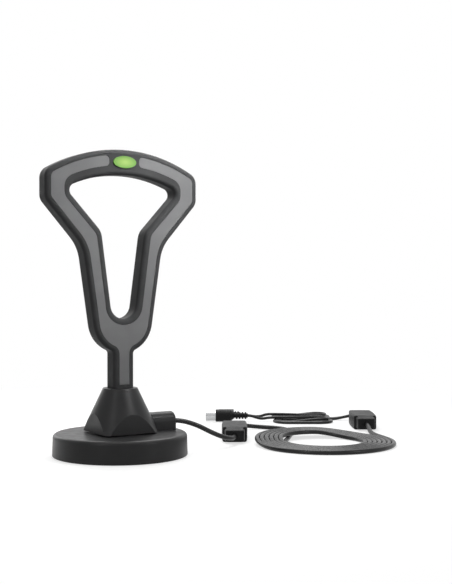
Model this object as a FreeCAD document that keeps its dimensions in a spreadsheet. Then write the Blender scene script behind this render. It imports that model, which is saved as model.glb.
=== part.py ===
"""Indoor TV antenna on a magnetic base, with its cords, two inline boxes and two plugs.

Millimetres, +Z up. The origin lies on the floor under the middle of the base. The loop head stands
in the XZ plane with its front towards -Y, and the lead leaves the collar along +X. The cords lie on
the floor beside the base, in a layout that is turned about Z against the head.
"""
import FreeCAD, Part
import Sketcher
import math
import os

V = FreeCAD.Vector
Rotation = FreeCAD.Rotation
Placement = FreeCAD.Placement

doc = FreeCAD.newDocument("magnetic_base_antenna")
sheet = doc.addObject("Spreadsheet::Sheet", "Sizes")

SIZES = {
    # base, stacked from the floor up
    "pad_thickness": 1.2,
    "bottom_plate_thickness": 1.5,
    "magnet_height": 9.3,
    "pole_plate_thickness": 2.0,
    "cover_top_wall": 3.0,
    "base_radius": 50.0,
    "base_draft": 0.5,
    "cover_wall": 2.6,
    "cover_edge_round": 2.8,
    "cover_foot_round": 0.8,
    "cover_foot_gap": 0.5,
    "pad_margin": 1.5,
    "fit_gap": 0.15,
    "over_cut": 1.0,
    "magnet_radius": 34.0,
    "magnet_bore_radius": 20.0,
    "rib_thickness": 1.6,
    "rib_depth": 5.0,
    "boss_edge_distance": 4.2,
    "boss_radius": 3.4,
    "base_screw_radius": 1.25,
    "base_screw_head_radius": 2.3,
    "base_screw_head_height": 1.05,
    "base_screw_length": 8.0,
    "screw_count": 3,
    # collar and gland
    "collar_height": 32.3,
    "collar_gap": 1.0,
    "collar_foot_radius": 28.2,
    "collar_top_radius": 12.7,
    "collar_flat_radius": 21.4,
    "collar_plinth_inset": 2.6,
    "collar_cavity_radius": 9.0,
    "collar_top_round": 0.8,
    "socket_depth": 14.0,
    "socket_floor": 3.0,
    "gland_end": 44.0,
    "gland_radius": 7.0,
    "gland_axis_height": 6.4,
    "gland_end_round": 1.8,
    "gland_grip": 9.0,
    "collar_screw_circle_radius": 14.5,
    "collar_screw_radius": 1.5,
    "collar_screw_length": 9.0,
    "collar_screw_head_radius": 2.7,
    "collar_screw_head_height": 1.8,
    # head, heights above the top of the collar
    "head_half_depth": 7.4,
    "head_top_height": 175.3,
    "head_top_arc_radius": 116.0,
    "head_half_width": 61.5,
    "head_side_height": 137.4,
    "head_corner_round": 9.0,
    "head_waist_half_width": 32.15,
    "head_waist_height": 103.8,
    "head_waist_round": 30.0,
    "head_bulb_height": 49.8,
    "head_bulb_radius": 24.0,
    "stem_half_width": 8.1,
    "stem_root_round": 3.0,
    "opening_top_height": 156.6,
    "opening_top_arc_radius": 101.5,
    "opening_half_width": 45.8,
    "opening_corner_round": 5.0,
    "opening_waist_half_width": 17.6,
    "opening_waist_height": 114.9,
    "opening_waist_round": 13.0,
    "opening_low_height": 61.5,
    "opening_low_radius": 10.3,
    "bar_edge_round": 3.0,
    "inlay_margin": 4.0,
    "inlay_inner_margin": 4.6,
    "inlay_top_extra": 2.2,
    "inlay_recess": 1.0,
    "inlay_thickness": 0.8,
    "inlay_badge_half_gap": 12.0,
    "inlay_end_round": 3.0,
    "inlay_stem_height": 2.6,
    "shell_wall": 3.0,
    "channel_depth": 3.2,
    "element_inset": 1.2,
    "element_thickness": 0.8,
    "element_half_gap": 5.0,
    "badge_half_width": 9.2,
    "badge_half_height": 4.4,
    "badge_thickness": 0.9,
    # cords
    "lead_radius": 1.85,
    "inner_lead_radius": 1.2,
    "inner_lead_bend": 8.0,
    "thin_cord_radius": 1.3,
    # inline boxes
    "box_half_length": 21.3,
    "box_half_width": 9.7,
    "box_bulge": 0.8,
    "box_half_height": 6.2,
    "box_corner_round": 2.4,
    "box_edge_round": 1.6,
    "box_neck_length": 9.8,
    "box_neck_root_half_width": 8.4,
    "box_neck_end_half_width": 7.3,
    "box_neck_half_height": 4.8,
    "box_neck_round": 1.2,
    "box_ramp_length": 3.0,
    "box_wall": 1.8,
    "box_ledge": 1.4,
    "board_thickness": 1.2,
    "thin_cord_spread": 1.7,
    # flat power plug
    "usb_shell_width": 12.0,
    "usb_shell_height": 4.5,
    "usb_shell_reach": 11.8,
    "usb_shell_sunk": 6.0,
    "usb_shell_wall": 0.35,
    "usb_shell_inner_round": 0.25,
    "usb_window_length": 2.2,
    "usb_window_width": 2.1,
    "usb_window_from_tip": 5.4,
    "usb_window_half_spread": 2.9,
    "usb_tongue_thickness": 1.9,
    "usb_tongue_setback": 0.9,
    "usb_contact_width": 1.0,
    "usb_contact_thickness": 0.2,
    "usb_contact_length": 7.4,
    "usb_contact_pitch": 2.25,
    "usb_grip_length": 14.0,
    "usb_grip_width": 13.2,
    "usb_grip_height": 8.0,
    "usb_grip_round": 1.5,
    "usb_neck_length": 4.8,
    "usb_neck_radius": 1.9,
    "usb_ring_radius": 2.6,
    "usb_ring_length": 1.4,
    # aerial plug
    "aerial_sleeve_radius": 4.75,
    "aerial_sleeve_wall": 0.4,
    "aerial_sleeve_reach": 9.0,
    "aerial_sleeve_sunk": 5.0,
    "aerial_sleeve_step": 0.3,
    "aerial_insulator_length": 5.0,
    "aerial_pin_radius": 1.2,
    "aerial_pin_setback": 0.4,
    "aerial_grip_wall": 0.7,
    "aerial_grip_length": 13.4,
    "aerial_taper_length": 4.0,
    "aerial_neck_radius": 2.1,
    "aerial_rib_radius": 3.2,
    "aerial_rib_length": 1.5,
    "aerial_rib_pitch": 2.7,
    "aerial_rib_count": 4,
    # coils
    "coil_outer_radius": 56.75,
    "coil_inner_radius": 28.8,
    "hank_half_length": 28.1,
    "hank_half_width": 14.2,
    "hank_band": 7.8,
}


class Size:
    """A value of the sheet, or a sum or share of such values, as a number and as an expression."""

    def __init__(self, value, text):
        self.value = float(value)
        self.text = text

    def __add__(self, other):
        other = as_size(other)
        return Size(self.value + other.value, f"({self.text} + {other.text})")

    __radd__ = __add__

    def __sub__(self, other):
        other = as_size(other)
        return Size(self.value - other.value, f"({self.text} - {other.text})")

    def __rsub__(self, other):
        return as_size(other) - self

    def __mul__(self, other):
        other = as_size(other)
        return Size(self.value * other.value, f"({self.text} * {other.text})")

    def __truediv__(self, other):
        other = as_size(other)
        return Size(self.value / other.value, f"({self.text} / {other.text})")

    __rmul__ = __mul__

    def __neg__(self):
        return self * -1


def as_size(value):
    return value if isinstance(value, Size) else Size(value, repr(float(value)))


class Named:
    """The sheet's values by name."""


size = Named()
for row, (name, number) in enumerate(SIZES.items(), start=1):
    sheet.set(f"A{row}", name)
    sheet.set(f"B{row}", str(number))
    sheet.setAlias(f"B{row}", name)
    setattr(size, name, Size(number, f"Sizes.{name}"))
doc.recompute()

# Levels and radii that follow from the stack of pieces.
plate_bottom = size.pad_thickness
plate_top = plate_bottom + size.bottom_plate_thickness
magnet_top = plate_top + size.magnet_height
ceiling = magnet_top + size.pole_plate_thickness
base_top = ceiling + size.cover_top_wall
collar_foot = base_top + size.collar_gap
collar_top = collar_foot + size.collar_height
stem_foot = collar_top - size.socket_depth
gland_axis = base_top + size.gland_axis_height
cover_inner_radius = size.base_radius - size.cover_wall
plate_radius = cover_inner_radius - size.fit_gap
boss_circle = plate_radius - size.boss_edge_distance
lead_bore_radius = size.lead_radius + size.fit_gap
inner_bore_radius = size.inner_lead_radius + size.fit_gap


def bind(thing, **properties):
    """Ties properties to sheet values; plain values are set as they are."""
    for path, amount in properties.items():
        if isinstance(amount, Size):
            thing.setExpression(path, amount.text)
        else:
            setattr(thing, path, amount)
    return thing


def move(thing, x=0, y=0, z=0, turn=None):
    """Places a solid, with each distance tied to the sheet."""
    if turn is not None:
        thing.Placement = Placement(V(0, 0, 0), turn)
    for axis, amount in (("x", x), ("y", y), ("z", z)):
        thing.setExpression(f"Placement.Base.{axis}", as_size(amount).text)
    return thing


# Sketches

def datum(sketch, kind, *where, to):
    index = sketch.addConstraint(Sketcher.Constraint(kind, *where, to.value))
    sketch.setExpression(f"Constraints[{index}]", to.text)


def rule(sketch, kind, *where):
    sketch.addConstraint(Sketcher.Constraint(kind, *where))


def pin(sketch, geometry, spot, x, y):
    """Holds a point of a sketch by its two coordinates."""
    for kind, axis, amount in (("DistanceX", -2, as_size(x)), ("DistanceY", -1, as_size(y))):
        if amount.value == 0.0:
            rule(sketch, "PointOnObject", geometry, spot, axis)
        elif amount.value > 0.0:
            datum(sketch, kind, -1, 1, geometry, spot, to=amount)
        else:
            datum(sketch, kind, geometry, spot, -1, 1, to=-amount)


def outline(sketch, corners):
    """Closed outline of straight edges, each corner held by its coordinates."""
    spots = [V(as_size(x).value, as_size(y).value, 0) for x, y in corners]
    first = sketch.GeometryCount
    count = len(spots)
    for i in range(count):
        sketch.addGeometry(Part.LineSegment(spots[i], spots[(i + 1) % count]), False)
    for i in range(count):
        rule(sketch, "Coincident", first + i, 2, first + (i + 1) % count, 1)
    for i, (x, y) in enumerate(corners):
        pin(sketch, first + i, 1, x, y)


def rectangle(sketch, x0, x1, y0, y1):
    outline(sketch, [(x0, y0), (x1, y0), (x1, y1), (x0, y1)])


def circle(sketch, x, y, radius):
    middle = V(as_size(x).value, as_size(y).value, 0)
    index = sketch.addGeometry(Part.Circle(middle, V(0, 0, 1), radius.value), False)
    datum(sketch, "Radius", index, to=radius)
    pin(sketch, index, 3, x, y)


def rounded_rectangle(sketch, half_x, half_y, radius):
    """Rectangle about the sketch's origin with four rounded corners."""
    hx, hy, r = half_x.value, half_y.value, radius.value
    quarter = math.pi / 2
    lines = []
    arcs = []
    for i, (x, y) in enumerate([(1, 1), (-1, 1), (-1, -1), (1, -1)]):
        ring = Part.Circle(V(x * (hx - r), y * (hy - r), 0), V(0, 0, 1), r)
        arcs.append(sketch.addGeometry(Part.ArcOfCircle(ring, i * quarter, (i + 1) * quarter), False))
    ends = [((hx - r, hy), (r - hx, hy)), ((-hx, hy - r), (-hx, r - hy)),
            ((r - hx, -hy), (hx - r, -hy)), ((hx, r - hy), (hx, hy - r))]
    for (x0, y0), (x1, y1) in ends:
        lines.append(sketch.addGeometry(Part.LineSegment(V(x0, y0, 0), V(x1, y1, 0)), False))
    for i in range(4):
        rule(sketch, "Tangent", arcs[i], 2, lines[i], 1)
        rule(sketch, "Tangent", lines[i], 2, arcs[(i + 1) % 4], 1)
        rule(sketch, "Horizontal" if i % 2 == 0 else "Vertical", lines[i])
        if i > 0:
            rule(sketch, "Equal", arcs[i], arcs[0])
    datum(sketch, "Radius", arcs[0], to=radius)
    datum(sketch, "DistanceY", -1, 1, lines[0], 1, to=half_y)
    datum(sketch, "DistanceX", lines[1], 1, -1, 1, to=half_x)
    datum(sketch, "DistanceY", lines[2], 1, -1, 1, to=half_y)
    datum(sketch, "DistanceX", -1, 1, lines[3], 1, to=half_x)


def stadium(sketch, half_length, half_width):
    """Two straight sides joined by half circles, about the sketch's origin."""
    reach, r = (half_length - half_width), half_width
    arcs = []
    for sign in (1, -1):
        ring = Part.Circle(V(sign * reach.value, 0, 0), V(0, 0, 1), r.value)
        start = -math.pi / 2 if sign > 0 else math.pi / 2
        arcs.append(sketch.addGeometry(Part.ArcOfCircle(ring, start, start + math.pi), False))
    x, y = reach.value, r.value
    upper = sketch.addGeometry(Part.LineSegment(V(x, y, 0), V(-x, y, 0)), False)
    lower = sketch.addGeometry(Part.LineSegment(V(-x, -y, 0), V(x, -y, 0)), False)
    rule(sketch, "Tangent", arcs[0], 2, upper, 1)
    rule(sketch, "Tangent", upper, 2, arcs[1], 1)
    rule(sketch, "Tangent", arcs[1], 2, lower, 1)
    rule(sketch, "Tangent", lower, 2, arcs[0], 1)
    rule(sketch, "Equal", arcs[1], arcs[0])
    datum(sketch, "Radius", arcs[0], to=r)
    pin(sketch, arcs[0], 3, reach, 0)
    pin(sketch, arcs[1], 3, -reach, 0)


def arc_between(sketch, middle, radius, first, second):
    """Adds the shorter arc from first to second; returns its number and the two end codes."""
    a = math.atan2(first.y - middle.y, first.x - middle.x)
    b = math.atan2(second.y - middle.y, second.x - middle.x)
    ring = Part.Circle(middle, V(0, 0, 1), radius)
    if (b - a) % (2 * math.pi) < math.pi:
        return sketch.addGeometry(Part.ArcOfCircle(ring, a, a + (b - a) % (2 * math.pi)), False), 1, 2
    return sketch.addGeometry(Part.ArcOfCircle(ring, b, b + (a - b) % (2 * math.pi)), False), 2, 1


def round_on_circle(middle, reach, spot, along, side, radius, near):
    """Middle of a rounding that keeps its distance from a circle's middle and from a line."""
    start = spot + side * radius - middle
    half = start.dot(along)
    root = math.sqrt(half * half - start.dot(start) + reach * reach)
    choices = [middle + start + along * (-half + sign * root) for sign in (1, -1)]
    return min(choices, key=lambda point: (point - near).Length)


def mirrored(point):
    return V(-point.x, point.y, 0)


def head_loop(sketch, top, top_radius, corners, low, low_radius, stem=None):
    """Outline that is the same left and right: an arc on top, rounded corners down each side and a
    round lower end, with a stem below it if one is given as half width, foot and rounding.

    Each corner is given as x, height (None where it lies on the top arc) and rounding.
    """
    arc_middle = V(0, top.value - top_radius.value, 0)
    low_middle = V(0, low.value, 0)
    points = []
    for x, height, rounding in corners:
        if height is None:
            level = arc_middle.y + math.sqrt(top_radius.value ** 2 - x.value ** 2)
        else:
            level = height.value
        points.append(V(x.value, level, 0))
    reach = points[-1] - low_middle
    angle = math.atan2(reach.y, reach.x) - math.acos(low_radius.value / reach.Length)
    touch = low_middle + V(math.cos(angle), math.sin(angle), 0) * low_radius.value
    path = points + [touch]
    directions = [(b - a).normalize() for a, b in zip(path, path[1:])]

    rounds = []
    inside = V(0, top.value - 1.0, 0)
    for i, (x, height, rounding) in enumerate(corners):
        r = rounding.value
        if i == 0:
            side = V(-directions[0].y, directions[0].x, 0)
            if side.dot(inside - points[0]) < 0:
                side = -side
            middle = round_on_circle(arc_middle, top_radius.value - r, points[0], directions[0], side, r,
                                     points[0])
            on_arc = arc_middle + (middle - arc_middle).normalize() * top_radius.value
            rounds.append((middle, r, on_arc, middle - side * r))
            continue
        before, after = directions[i - 1], directions[i]
        turn = before.getAngle(after)
        length = r * math.tan(turn / 2)
        first = points[i] - before * length
        second = points[i] + after * length
        middle = points[i] + (after - before).normalize() * (r / math.cos(turn / 2))
        rounds.append((middle, r, first, second))

    top_arc, top_right, top_left = arc_between(sketch, arc_middle, top_radius.value, rounds[0][2],
                                               mirrored(rounds[0][2]))
    rule(sketch, "PointOnObject", top_arc, 3, -2)
    datum(sketch, "DistanceY", -1, 1, top_arc, 3, to=top - top_radius)
    datum(sketch, "Radius", top_arc, to=top_radius)

    low_ends = []
    marks_right = []
    for flip in (False, True):
        seen = mirrored if flip else (lambda point: point)
        marks = []
        for i, (x, height, rounding) in enumerate(corners):
            mark = sketch.addGeometry(Part.Point(seen(points[i])), True)
            marks.append(mark)
            if flip:
                rule(sketch, "Symmetric", marks_right[i], 1, mark, 1, -2)
                continue
            datum(sketch, "DistanceX", -1, 1, mark, 1, to=x)
            if height is None:
                rule(sketch, "PointOnObject", mark, 1, top_arc)
            else:
                datum(sketch, "DistanceY", -1, 1, mark, 1, to=height)
        if not flip:
            marks_right = marks
        last = (top_arc, top_left if flip else top_right)
        for i, (middle, r, first, second) in enumerate(rounds):
            end = rounds[i + 1][2] if i + 1 < len(rounds) else touch
            arc, arc_in, arc_out = arc_between(sketch, seen(middle), r, seen(first), seen(second))
            line = sketch.addGeometry(Part.LineSegment(seen(second), seen(end)), False)
            rule(sketch, "Tangent", last[0], last[1], arc, arc_in)
            rule(sketch, "Tangent", arc, arc_out, line, 1)
            datum(sketch, "Radius", arc, to=corners[i][2])
            rule(sketch, "PointOnObject", marks[i], 1, line)
            if i + 1 < len(rounds):
                rule(sketch, "PointOnObject", marks[i + 1], 1, line)
            last = (line, 2)
        low_ends.append(last[0])

    if stem is None:
        ring = Part.Circle(low_middle, V(0, 0, 1), low_radius.value)
        low_arc = sketch.addGeometry(Part.ArcOfCircle(ring, math.pi - angle, 2 * math.pi + angle), False)
        rule(sketch, "Tangent", low_ends[0], 2, low_arc, 2)
        rule(sketch, "Tangent", low_ends[1], 2, low_arc, 1)
        rule(sketch, "PointOnObject", low_arc, 3, -2)
        datum(sketch, "DistanceY", -1, 1, low_arc, 3, to=low)
        datum(sketch, "Radius", low_arc, to=low_radius)
        return

    half, foot, rounding = stem
    r = rounding.value
    corner = V(half.value, low.value - math.sqrt(low_radius.value ** 2 - half.value ** 2), 0)
    middle = round_on_circle(low_middle, low_radius.value + r, corner, V(0, 1, 0), V(1, 0, 0), r, corner)
    on_low = low_middle + (middle - low_middle).normalize() * low_radius.value
    on_stem = V(half.value, middle.y, 0)
    stem_lines = []
    first_low = None
    for flip, low_end in zip((False, True), low_ends):
        seen = mirrored if flip else (lambda point: point)
        low_arc, low_in, low_out = arc_between(
            sketch, low_middle, low_radius.value, seen(touch), seen(on_low))
        rule(sketch, "Tangent", low_end, 2, low_arc, low_in)
        if first_low is None:
            first_low = low_arc
            rule(sketch, "PointOnObject", low_arc, 3, -2)
            datum(sketch, "DistanceY", -1, 1, low_arc, 3, to=low)
            datum(sketch, "Radius", low_arc, to=low_radius)
        else:
            rule(sketch, "Coincident", low_arc, 3, first_low, 3)
            rule(sketch, "Equal", low_arc, first_low)
        arc, arc_in, arc_out = arc_between(sketch, seen(middle), r, seen(on_low), seen(on_stem))
        stem_foot_corner = seen(V(half.value, foot.value, 0))
        line = sketch.addGeometry(Part.LineSegment(seen(on_stem), stem_foot_corner), False)
        rule(sketch, "Tangent", low_arc, low_out, arc, arc_in)
        rule(sketch, "Tangent", arc, arc_out, line, 1)
        datum(sketch, "Radius", arc, to=rounding)
        rule(sketch, "Vertical", line)
        stem_lines.append(line)
    x, y = half.value, foot.value
    foot_line = sketch.addGeometry(Part.LineSegment(V(x, y, 0), V(-x, y, 0)), False)
    rule(sketch, "Coincident", stem_lines[0], 2, foot_line, 1)
    rule(sketch, "Coincident", stem_lines[1], 2, foot_line, 2)
    pin(sketch, foot_line, 1, half, foot)
    rule(sketch, "Symmetric", foot_line, 1, foot_line, 2, -2)


def head_outline(sketch):
    head_loop(
        sketch, collar_top + size.head_top_height, size.head_top_arc_radius,
        [(size.head_half_width, None, size.head_corner_round),
         (size.head_half_width, collar_top + size.head_side_height, size.head_corner_round),
         (size.head_waist_half_width, collar_top + size.head_waist_height, size.head_waist_round)],
        collar_top + size.head_bulb_height, size.head_bulb_radius,
        stem=(size.stem_half_width, stem_foot, size.stem_root_round))


def head_opening(sketch):
    head_loop(
        sketch, collar_top + size.opening_top_height, size.opening_top_arc_radius,
        [(size.opening_half_width, None, size.opening_corner_round),
         (size.opening_waist_half_width, collar_top + size.opening_waist_height, size.opening_waist_round)],
        collar_top + size.opening_low_height, size.opening_low_radius)


# Features of a body

def new_body(label):
    body = doc.addObject("PartDesign::Body", label)
    body.Label = label
    return body


def new_sketch(body, name, role, level=None):
    sketch = body.newObject("Sketcher::SketchObject", name)
    plane = [feature for feature in body.Origin.OriginFeatures if feature.Role == role][0]
    sketch.AttachmentSupport = [(plane, "")]
    sketch.MapMode = "FlatFace"
    if level is not None:
        sketch.AttachmentOffset = Placement(V(0, 0, as_size(level).value), Rotation())
        sketch.setExpression("AttachmentOffset.Base.z", as_size(level).text)
    return sketch


def pad(body, sketch, length, reverse=False):
    feature = body.newObject("PartDesign::Pad", sketch.Name + "_pad")
    feature.Profile = sketch
    feature.Reversed = reverse
    bind(feature, Length=length)
    sketch.Visibility = False
    doc.recompute()
    return feature


def pocket(body, sketch, length, reverse=False):
    """Cuts a profile away and makes sure that something was cut."""
    before = body.Shape.Volume
    feature = body.newObject("PartDesign::Pocket", sketch.Name + "_pocket")
    feature.Profile = sketch
    feature.Reversed = reverse
    bind(feature, Length=length)
    doc.recompute()
    if body.Shape.Volume > before - 1e-6:
        raise RuntimeError(f"{feature.Name} cuts nothing")
    return feature


def revolve(body, sketch, axis="V_Axis"):
    feature = body.newObject("PartDesign::Revolution", sketch.Name + "_turned")
    feature.Profile = sketch
    feature.ReferenceAxis = (sketch, [axis])
    feature.Angle = 360
    doc.recompute()
    return feature


def polar(body, feature, count):
    pattern = body.newObject("PartDesign::PolarPattern", feature.Name + "_pattern")
    pattern.Originals = [feature]
    axis = [item for item in body.Origin.OriginFeatures if item.Role == "Z_Axis"][0]
    pattern.Axis = (axis, [""])
    pattern.Angle = 360
    bind(pattern, Occurrences=count)
    body.Tip = pattern
    doc.recompute()
    return pattern


def fillet(body, wanted, radius):
    """Rounds the edges of the body that the test picks."""
    base = body.Tip
    names = [f"Edge{i + 1}" for i, edge in enumerate(base.Shape.Edges) if wanted(edge)]
    feature = body.newObject("PartDesign::Fillet", body.Name + "_round")
    feature.Base = (base, names)
    bind(feature, Radius=radius)
    doc.recompute()
    return feature


def spread(edge, axis):
    box = edge.BoundBox
    return {"x": (box.XMin, box.XMax), "y": (box.YMin, box.YMax), "z": (box.ZMin, box.ZMax)}[axis]


def lies_at(edge, axis, level):
    low, high = spread(edge, axis)
    return abs(low - level) < 1e-4 and abs(high - level) < 1e-4


def is_upright(edge):
    return edge.BoundBox.ZLength > 1 and edge.BoundBox.XLength < 1e-3 and edge.BoundBox.YLength < 1e-3


# Plain solids and booleans

def extrude(name, base, start, end):
    """Solid of a closed outline in the head's plane, from start to end towards the front."""
    solid = doc.addObject("Part::Extrusion", name)
    solid.Base = base
    solid.DirMode = "Custom"
    solid.Dir = V(0, -1, 0)
    solid.Solid = True
    bind(solid, LengthFwd=as_size(end), LengthRev=-as_size(start))
    return solid


def box(name, x0, x1, y0, y1, z0, z1):
    solid = doc.addObject("Part::Box", name)
    bind(solid, Length=as_size(x1) - x0, Width=as_size(y1) - y0, Height=as_size(z1) - z0)
    return move(solid, x0, y0, z0)


def cylinder(name, radius, height, x=0, y=0, z=0, turn=None):
    solid = doc.addObject("Part::Cylinder", name)
    bind(solid, Radius=as_size(radius), Height=as_size(height))
    return move(solid, x, y, z, turn)


def cone(name, low_radius, high_radius, height, x=0, y=0, z=0):
    solid = doc.addObject("Part::Cone", name)
    bind(solid, Radius1=as_size(low_radius), Radius2=as_size(high_radius), Height=as_size(height))
    return move(solid, x, y, z)


def cut(name, base, *tools):
    for i, tool in enumerate(tools):
        solid = doc.addObject("Part::Cut", name if i + 1 == len(tools) else f"{name}_step{i}")
        solid.Base = base
        solid.Tool = tool
        base = solid
    base.Label = name
    return base


def join(name, *solids):
    solid = doc.addObject("Part::MultiFuse", name)
    solid.Shapes = list(solids)
    solid.Label = name
    return solid


subparts = []


def keep(thing, label=None):
    """Marks a solid as a piece of the antenna."""
    if label is not None:
        thing.Label = label
    subparts.append(thing)
    return thing


def around(count, radius, index):
    """Coordinates of one of the evenly spread spots on a circle, tied to its radius."""
    angle = 2 * math.pi * index / count
    return radius * round(math.cos(angle), 9), radius * round(math.sin(angle), 9)


screw_count = int(SIZES["screw_count"])

# Base cover: a drafted tub with a rounded top edge, a rib that locates the magnet and screw bosses

cover = new_body("base_cover")
profile = new_sketch(cover, "cover_profile", "XZ_Plane")
rib_inner = size.magnet_radius + size.fit_gap
outline(profile, [
    (0, ceiling), (rib_inner, ceiling), (rib_inner, ceiling - size.rib_depth),
    (rib_inner + size.rib_thickness, ceiling - size.rib_depth), (rib_inner + size.rib_thickness, ceiling),
    (cover_inner_radius, ceiling), (cover_inner_radius, size.cover_foot_gap),
    (size.base_radius, size.cover_foot_gap), (size.base_radius - size.base_draft, base_top), (0, base_top)])
revolve(cover, profile)
fillet(cover, lambda edge: lies_at(edge, "z", base_top.value), size.cover_edge_round)
fillet(cover, lambda edge: lies_at(edge, "z", size.cover_foot_gap.value)
       and edge.BoundBox.XMax > size.base_radius.value - 0.01, size.cover_foot_round)
boss = new_sketch(cover, "cover_boss", "XY_Plane", plate_top)
circle(boss, boss_circle, 0, size.boss_radius)
circle(boss, boss_circle, 0, size.base_screw_radius + size.fit_gap)
polar(cover, pad(cover, boss, ceiling - plate_top), size.screw_count)
hole = new_sketch(cover, "cover_screw_hole", "XY_Plane", base_top)
circle(hole, -size.collar_screw_circle_radius, 0, size.collar_screw_radius + size.fit_gap)
polar(cover, pocket(cover, hole, size.cover_top_wall), size.screw_count)
keep(cover)

# Magnet, pole plate, bottom plate and pad, stacked from the top of the tub to the floor


def ring(label, outer, inner, level, height):
    body = new_body(label)
    sketch = new_sketch(body, label + "_section", "XY_Plane", level)
    circle(sketch, 0, 0, outer)
    if inner is not None:
        circle(sketch, 0, 0, inner)
    pad(body, sketch, height)
    return keep(body)


ring("pole_plate", size.magnet_radius, size.magnet_bore_radius, magnet_top, size.pole_plate_thickness)
ring("ring_magnet", size.magnet_radius, size.magnet_bore_radius, plate_top, size.magnet_height)
ring("anti_slip_pad", plate_radius - size.pad_margin, None, 0, size.pad_thickness)

plate_holes = []
screws = []
for i in range(screw_count):
    x, y = around(screw_count, boss_circle, i)
    wide = size.base_screw_head_radius + size.fit_gap
    narrow = size.base_screw_radius + size.fit_gap
    plate_holes.append(cone(f"plate_sink{i}", wide, narrow, size.base_screw_head_height,
                            x, y, plate_bottom))
    plate_holes.append(cylinder(f"plate_hole{i}", narrow, size.bottom_plate_thickness,
                                x, y, plate_bottom))
    head = cone(f"base_screw_head{i}", size.base_screw_head_radius, size.base_screw_radius,
                size.base_screw_head_height, x, y, plate_bottom)
    shank = cylinder(f"base_screw_shank{i}", size.base_screw_radius, size.base_screw_length,
                     x, y, plate_bottom)
    screws.append(join(f"base_screw{i}", head, shank))
plate = cylinder("bottom_plate_blank", plate_radius, size.bottom_plate_thickness, 0, 0, plate_bottom)
keep(cut("bottom_plate", plate, *plate_holes))


def group(label, solids):
    """Separate solids that share one piece's name."""
    bunch = doc.addObject("Part::Compound", label)
    bunch.Links = list(solids)
    bunch.Label = label
    return keep(bunch)


group("base_screws", screws)

# Collar: a cone with four flats, an arched gland on the +X flat and a socket for the stem

collar = new_body("collar")
profile = new_sketch(collar, "collar_profile", "XZ_Plane")
plinth_radius = size.collar_flat_radius - size.collar_plinth_inset
web_bottom = stem_foot - size.socket_floor
outline(profile, [
    (size.collar_cavity_radius, base_top), (plinth_radius, base_top), (plinth_radius, collar_foot),
    (size.collar_foot_radius, collar_foot), (size.collar_top_radius, collar_top),
    (inner_bore_radius, collar_top), (inner_bore_radius, web_bottom),
    (size.collar_cavity_radius, web_bottom)])
revolve(collar, profile)
flats = new_sketch(collar, "collar_flats", "XY_Plane", collar_foot)
wide = size.collar_foot_radius + size.over_cut
rectangle(flats, -wide, wide, -wide, wide)
flat = size.collar_flat_radius
rectangle(flats, -flat, flat, -flat, flat)
pocket(collar, flats, size.collar_height, reverse=True)
fillet(collar, lambda edge: lies_at(edge, "z", collar_top.value)
       and edge.BoundBox.XMax > size.collar_top_radius.value - 0.01, size.collar_top_round)

gland_root = plinth_radius - size.collar_plinth_inset
arch = new_sketch(collar, "gland_arch", "YZ_Plane", gland_root)
top = V(0, gland_axis.value, 0)
ring_line = Part.Circle(top, V(0, 0, 1), size.gland_radius.value)
bow = arch.addGeometry(Part.ArcOfCircle(ring_line, 0, math.pi), False)
legs = []
for sign in (1, -1):
    upper = V(sign * size.gland_radius.value, gland_axis.value, 0)
    lower = V(sign * size.gland_radius.value, base_top.value, 0)
    legs.append(arch.addGeometry(Part.LineSegment(upper, lower), False))
sole = arch.addGeometry(Part.LineSegment(V(size.gland_radius.value, base_top.value, 0),
                                         V(-size.gland_radius.value, base_top.value, 0)), False)
rule(arch, "Tangent", bow, 1, legs[0], 1)
rule(arch, "Tangent", bow, 2, legs[1], 1)
rule(arch, "Coincident", legs[0], 2, sole, 1)
rule(arch, "Coincident", legs[1], 2, sole, 2)
rule(arch, "Horizontal", sole)
datum(arch, "Radius", bow, to=size.gland_radius)
rule(arch, "PointOnObject", bow, 3, -2)
datum(arch, "DistanceY", -1, 1, bow, 3, to=gland_axis)
datum(arch, "DistanceY", -1, 1, sole, 1, to=base_top)
pad(collar, arch, size.gland_end - gland_root)
fillet(collar, lambda edge: lies_at(edge, "x", size.gland_end.value)
       and edge.BoundBox.ZMax > base_top.value + 0.01, size.gland_end_round)

bore = new_sketch(collar, "lead_bore", "YZ_Plane", size.gland_end)
circle(bore, 0, gland_axis, lead_bore_radius)
pocket(collar, bore, size.gland_end)
socket = new_sketch(collar, "stem_socket", "XY_Plane", collar_top)
rounded_rectangle(socket, size.stem_half_width + size.fit_gap, size.head_half_depth + size.fit_gap,
                  size.bar_edge_round + size.fit_gap)
pocket(collar, socket, size.socket_depth)
pilot = new_sketch(collar, "collar_pilot", "XY_Plane", base_top)
circle(pilot, -size.collar_screw_circle_radius, 0, size.collar_screw_radius + size.fit_gap)
polar(collar, pocket(collar, pilot, size.collar_screw_length, reverse=True), size.screw_count)
keep(collar)

collar_screws = []
for i in range(screw_count):
    x, y = around(screw_count, -size.collar_screw_circle_radius, i)
    head = cylinder(f"collar_screw_head{i}", size.collar_screw_head_radius, size.collar_screw_head_height,
                    x, y, ceiling - size.collar_screw_head_height)
    shank = cylinder(f"collar_screw_shank{i}", size.collar_screw_radius, size.collar_screw_length,
                     x, y, ceiling)
    collar_screws.append(join(f"collar_screw{i}", head, shank))
group("collar_screws", collar_screws)

# Head: two half shells of a rounded bar, split in the XZ plane, with a channel between them


def head_half(name, to_rear):
    body = new_body(name)
    shape = new_sketch(body, name + "_outline", "XZ_Plane")
    head_outline(shape)
    pad(body, shape, size.head_half_depth, reverse=to_rear)
    hole = new_sketch(body, name + "_opening", "XZ_Plane")
    head_opening(hole)
    pocket(body, hole, size.head_half_depth, reverse=not to_rear)
    face = size.head_half_depth.value if to_rear else -size.head_half_depth.value
    fillet(body, lambda edge: lies_at(edge, "y", face) and not lies_at(edge, "z", stem_foot.value),
           size.bar_edge_round)
    return body


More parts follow.
